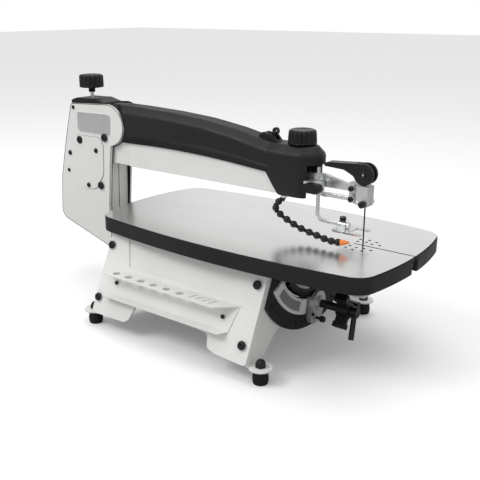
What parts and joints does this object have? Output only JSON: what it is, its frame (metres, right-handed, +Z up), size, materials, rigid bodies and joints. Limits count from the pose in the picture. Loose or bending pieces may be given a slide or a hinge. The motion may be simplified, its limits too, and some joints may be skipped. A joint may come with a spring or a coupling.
{
  "type": "scroll saw",
  "caption": "Bench scroll saw with tilting arm, long steel table on a splayed sheet-metal base, parallel-link blade drive, hold-down, air hose and hand controls",
  "frame": {"origin": "on the bench under the middle of the machine's outline", "axes": "+X towards the operator (table front), +Y to the operator's right, +Z up"},
  "size_m": [0.7956, 0.376, 0.432],
  "materials": {
    "white_paint": "semi-gloss off-white powder coat",
    "black_paint": "satin black, slightly textured",
    "black_plastic": "moulded black, matt",
    "rubber": "dull black rubber",
    "table_steel": "ground and polished plate",
    "bright_steel": "bright machined steel",
    "cast_alloy": "satin die-cast alloy",
    "dark_steel": "dark oiled steel",
    "scale_white": "white scale plate"
  },
  "bodies": {
    "base": {"base_side_left": "white_paint", "base_side_right": "white_paint", "base_front_panel": "white_paint", "base_rear_panel": "white_paint", "trunnion_front": "black_paint", "trunnion_rear": "black_paint", "tilt_scale": "scale_white", "pinion_housing": "cast_alloy", "table_plate": "table_steel", "table_rim": "black_paint", "tool_shelf": "white_paint", "feet": "rubber", "foot_nuts": "black_paint", "base_bolts": "black_paint"},
    "tilt_body": {"rack_ring": "dark_steel", "arm_nose": "cast_alloy", "lower_arm": "white_paint", "column_left": "white_paint", "column_right": "white_paint", "column_gaskets": "rubber", "column_cover_left": "white_paint", "column_cover_right": "white_paint", "access_plate": "white_paint", "badge_plate": "cast_alloy", "column_screws": "black_paint", "top_cap": "black_plastic", "motor": "dark_steel", "cord_gland": "black_plastic", "arm_pins": "bright_steel"},
    "upper_arm": {"upper_beam": "white_paint", "arm_cover": "black_paint", "head_cover": "black_paint", "head_pins": "bright_steel", "air_pump": "rubber", "switch_base": "black_plastic"},
    "motor_shaft": {"motor_shaft": "bright_steel"},
    "rear_rocker": {"rear_rocker": "dark_steel"},
    "pitman": {"pitman": "bright_steel"},
    "lower_rod": {"lower_rod": "bright_steel"},
    "lower_rocker": {"lower_rocker": "bright_steel"},
    "lower_link": {"lower_link": "bright_steel"},
    "lower_block": {"lower_block": "cast_alloy"},
    "lower_chuck_screw": {"lower_chuck_screw": "black_plastic"},
    "rear_knob": {"rear_knob": "black_plastic"},
    "pinion_shaft": {"pinion_shaft": "dark_steel", "tilt_knob": "black_plastic"},
    "lock_lever": {"lock_lever": "black_plastic"},
    "switch_toggle": {"switch_toggle": "black_plastic"},
    "speed_dial": {"speed_dial": "black_plastic"},
    "upper_rod": {"upper_rod": "bright_steel"},
    "upper_rocker": {"upper_rocker": "bright_steel"},
    "upper_link": {"upper_link": "bright_steel"},
    "upper_block": {"upper_block": "cast_alloy", "blade": "dark_steel"},
    "tension_lever": {"tension_lever": "black_plastic"},
    "upper_chuck_screw": {"upper_chuck_screw": "black_plastic"},
    "holddown": {"holddown": "bright_steel"},
    "holddown_foot": {"holddown_foot": "bright_steel"},
    "holddown_knob": {"holddown_knob": "black_plastic"},
    "air_hose": {"air_hose": "black_plastic"}
  },
  "joints": [
    {"name": "arm_tilt", "type": "hinge", "parent": "base", "child": "tilt_body", "pos_m": [0.2178, 0, 0.198], "axis": [1, 0, 0], "range_deg": [-30, 45], "deforming": ["air_hose"]},
    {"name": "tilt_pinion", "type": "hinge", "parent": "base", "child": "pinion_shaft", "pos_m": [0.2478, 0, 0.079], "axis": [1, 0, 0], "range_deg": [-315, 210]},
    {"name": "tilt_lock", "type": "hinge", "parent": "base", "child": "lock_lever", "pos_m": [0.2998, 0, 0.079], "axis": [1, 0, 0], "range_deg": [-20, 50]},
    {"name": "arm_lift", "type": "hinge", "parent": "tilt_body", "child": "upper_arm", "pos_m": [-0.2402, 0, 0.338], "axis": [0, -1, 0], "range_deg": [0, 12]},
    {"name": "motor_drive", "type": "hinge", "parent": "tilt_body", "child": "motor_shaft", "pos_m": [-0.3422, 0.05, 0.143], "axis": [0, 1, 0], "continuous": true},
    {"name": "rear_rock", "type": "hinge", "parent": "tilt_body", "child": "rear_rocker", "pos_m": [-0.2672, 0, 0.18166], "axis": [0, 1, 0], "range_deg": [-1.77, 1.77]},
    {"name": "pitman_pin", "type": "hinge", "parent": "rear_rocker", "child": "pitman", "pos_m": [-0.2672, 0, 0.143], "axis": [0, 1, 0], "range_deg": [-2, 2]},
    {"name": "lower_rod_slide", "type": "slide", "parent": "tilt_body", "child": "lower_rod", "axis": [1, 0, 0], "range_m": [-0.0024, 0.0024]},
    {"name": "lower_rock", "type": "hinge", "parent": "tilt_body", "child": "lower_rocker", "pos_m": [0.1878, 0, 0.132], "axis": [0, 1, 0], "range_deg": [-5.65, 5.65]},
    {"name": "lower_link_pin", "type": "hinge", "parent": "tilt_body", "child": "lower_link", "pos_m": [0.1878, 0, 0.117], "axis": [0, 1, 0], "range_deg": [-5.65, 5.65]},
    {"name": "lower_block_pin", "type": "hinge", "parent": "lower_rocker", "child": "lower_block", "pos_m": [0.2878, 0, 0.132], "axis": [0, 1, 0], "range_deg": [-5.65, 5.65]},
    {"name": "lower_chuck_turn", "type": "hinge", "parent": "lower_block", "child": "lower_chuck_screw", "pos_m": [0.3108, -0.015, 0.151], "axis": [0, -1, 0], "range_deg": [0, 720]},
    {"name": "rod_tension_turn", "type": "hinge", "parent": "tilt_body", "child": "rear_knob", "pos_m": [-0.3122, 0, 0.398], "axis": [0, 0, 1], "range_deg": [-360, 720]},
    {"name": "switch_throw", "type": "hinge", "parent": "upper_arm", "child": "switch_toggle", "pos_m": [0.1318, 0, 0.355], "axis": [0, 1, 0], "range_deg": [0, 25]},
    {"name": "speed_turn", "type": "hinge", "parent": "upper_arm", "child": "speed_dial", "pos_m": [0.1888, 0, 0.348], "axis": [0, 0, 1], "range_deg": [0, 270]},
    {"name": "blade_stroke", "type": "hinge", "parent": "upper_arm", "child": "upper_rocker", "pos_m": [0.1878, 0, 0.29], "axis": [0, 1, 0], "range_deg": [-5.45, 5.45], "stiffness_Nm_per_rad": 0.2},
    {"name": "upper_rod_slide", "type": "slide", "parent": "upper_arm", "child": "upper_rod", "axis": [1, 0, 0], "range_m": [-0.0048, 0.0048]},
    {"name": "upper_link_pin", "type": "hinge", "parent": "upper_arm", "child": "upper_link", "pos_m": [0.1878, 0, 0.273], "axis": [0, 1, 0], "range_deg": [-5.65, 5.65]},
    {"name": "upper_block_pin", "type": "hinge", "parent": "upper_rocker", "child": "upper_block", "pos_m": [0.2878, 0, 0.29], "axis": [0, 1, 0], "range_deg": [-5.65, 5.65]},
    {"name": "tension_throw", "type": "hinge", "parent": "upper_block", "child": "tension_lever", "pos_m": [0.3058, 0, 0.314], "axis": [0, 1, 0], "range_deg": [0, 70]},
    {"name": "upper_chuck_turn", "type": "hinge", "parent": "upper_block", "child": "upper_chuck_screw", "pos_m": [0.3108, -0.016, 0.269], "axis": [0, -1, 0], "range_deg": [0, 720]},
    {"name": "holddown_slide", "type": "slide", "parent": "upper_arm", "child": "holddown", "axis": [0, 0, 1], "range_m": [-0.015, 0.016]},
    {"name": "foot_swivel", "type": "hinge", "parent": "holddown", "child": "holddown_foot", "pos_m": [0.2718, 0, 0.226], "axis": [1, 0, 0], "range_deg": [-46, 46]},
    {"name": "holddown_clamp", "type": "hinge", "parent": "upper_arm", "child": "holddown_knob", "pos_m": [0.2338, -0.035, 0.288], "axis": [0, -1, 0], "range_deg": [0, 360]},
    {"name": "hose_swing", "type": "hinge", "parent": "upper_arm", "child": "air_hose", "pos_m": [0.1728, -0.0265, 0.26], "axis": [0, 0, 1], "range_deg": [-25, 10]}
  ],
  "couplings": [
    {"joint": "tilt_pinion", "follows": "arm_tilt", "ratio": -7},
    {"joint": "rear_rock", "follows": "blade_stroke", "ratio": 0.30702},
    {"joint": "foot_swivel", "follows": "arm_tilt", "ratio": -1},
    {"joint": "pitman_pin", "follows": "blade_stroke", "ratio": -0.30702},
    {"joint": "lower_rod_slide", "follows": "blade_stroke", "m_per_rad": -0.022},
    {"joint": "lower_rock", "follows": "blade_stroke", "ratio": 1},
    {"joint": "lower_link_pin", "follows": "blade_stroke", "ratio": 1},
    {"joint": "lower_block_pin", "follows": "blade_stroke", "ratio": -1},
    {"joint": "upper_rod_slide", "follows": "blade_stroke", "m_per_rad": 0.048},
    {"joint": "upper_link_pin", "follows": "blade_stroke", "ratio": 1},
    {"joint": "upper_block_pin", "follows": "blade_stroke", "ratio": -1}
  ]
}
